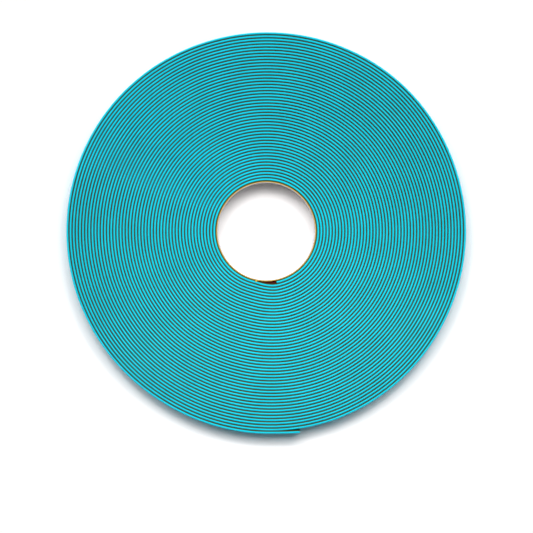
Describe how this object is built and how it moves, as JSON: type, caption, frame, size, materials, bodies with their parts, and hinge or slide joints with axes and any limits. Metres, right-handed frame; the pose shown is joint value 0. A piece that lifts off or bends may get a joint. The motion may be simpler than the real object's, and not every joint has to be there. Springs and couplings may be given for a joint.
{
  "type": "grip tape roll",
  "caption": "Flat roll of narrow cushioned grip tape for racket handles, wound with its release liner on a short card core, with a loose end that peels off the roll.",
  "frame": {"origin": "on the bore's axis, at the roll's lower side, which it lies on", "axes": "+Z is the bore's axis, up out of the upper side. +X and +Y lie in the roll's side, and the tape's free end is at -Y, pointing to +X"},
  "size_m": [0.3098, 0.3115, 0.018],
  "materials": {
    "cyan_foam": "matte",
    "liner_paper": "matte",
    "kraft_board": "matte",
    "grey_paper": "matte",
    "ochre_glue": "satin"
  },
  "bodies": {
    "roll": {"tape_winding": "cyan_foam", "release_liner_winding": "liner_paper", "core_board": "kraft_board", "core_inner_ply": "grey_paper", "core_glue_bead": "ochre_glue"},
    "tail_1": {"tape_tail_link_1": "cyan_foam", "liner_tail_link_1": "liner_paper"},
    "tail_2": {"tape_tail_link_2": "cyan_foam", "liner_tail_link_2": "liner_paper"},
    "tail_3": {"tape_tail_link_3": "cyan_foam", "liner_tail_link_3": "liner_paper"},
    "tail_4": {"tape_tail_link_4": "cyan_foam", "liner_tail_link_4": "liner_paper"},
    "tail_5": {"tape_tail_link_5": "cyan_foam", "liner_tail_link_5": "liner_paper"},
    "tail_6": {"tape_tail_link_6": "cyan_foam", "liner_tail_link_6": "liner_paper"},
    "tail_7": {"tape_tail_link_7": "cyan_foam", "liner_tail_link_7": "liner_paper"},
    "tail_8": {"tape_tail_link_8": "cyan_foam", "liner_tail_link_8": "liner_paper"}
  },
  "joints": [
    {"name": "tail_1_hinge", "type": "hinge", "parent": "roll", "child": "tail_1", "pos_m": [-0.11622, -0.10282, 0.009], "axis": [0, 0, -1], "range_deg": [0, 7], "stiffness_Nm_per_rad": 0.01},
    {"name": "tail_2_hinge", "type": "hinge", "parent": "tail_1", "child": "tail_2", "pos_m": [-0.10181, -0.11712, 0.009], "axis": [0, 0, -1], "range_deg": [0, 7], "stiffness_Nm_per_rad": 0.01},
    {"name": "tail_3_hinge", "type": "hinge", "parent": "tail_2", "child": "tail_3", "pos_m": [-0.08568, -0.12945, 0.009], "axis": [0, 0, -1], "range_deg": [0, 7], "stiffness_Nm_per_rad": 0.01},
    {"name": "tail_4_hinge", "type": "hinge", "parent": "tail_3", "child": "tail_4", "pos_m": [-0.06817, -0.13977, 0.009], "axis": [0, 0, -1], "range_deg": [0, 7], "stiffness_Nm_per_rad": 0.01},
    {"name": "tail_5_hinge", "type": "hinge", "parent": "tail_4", "child": "tail_5", "pos_m": [-0.04948, -0.14788, 0.009], "axis": [0, 0, -1], "range_deg": [0, 7], "stiffness_Nm_per_rad": 0.01},
    {"name": "tail_6_hinge", "type": "hinge", "parent": "tail_5", "child": "tail_6", "pos_m": [-0.02985, -0.15359, 0.009], "axis": [0, 0, -1], "range_deg": [0, 7], "stiffness_Nm_per_rad": 0.01},
    {"name": "tail_7_hinge", "type": "hinge", "parent": "tail_6", "child": "tail_7", "pos_m": [-0.00958, -0.15672, 0.009], "axis": [0, 0, -1], "range_deg": [0, 7], "stiffness_Nm_per_rad": 0.01},
    {"name": "tail_8_hinge", "type": "hinge", "parent": "tail_7", "child": "tail_8", "pos_m": [0.01099, -0.15712, 0.009], "axis": [0, 0, -1], "range_deg": [0, 7], "stiffness_Nm_per_rad": 0.01}
  ],
  "couplings": [
    {"joint": "tail_2_hinge", "follows": "tail_1_hinge", "ratio": 1},
    {"joint": "tail_3_hinge", "follows": "tail_1_hinge", "ratio": 1},
    {"joint": "tail_4_hinge", "follows": "tail_1_hinge", "ratio": 1},
    {"joint": "tail_5_hinge", "follows": "tail_1_hinge", "ratio": 1},
    {"joint": "tail_6_hinge", "follows": "tail_1_hinge", "ratio": 1},
    {"joint": "tail_7_hinge", "follows": "tail_1_hinge", "ratio": 1},
    {"joint": "tail_8_hinge", "follows": "tail_1_hinge", "ratio": 1}
  ]
}
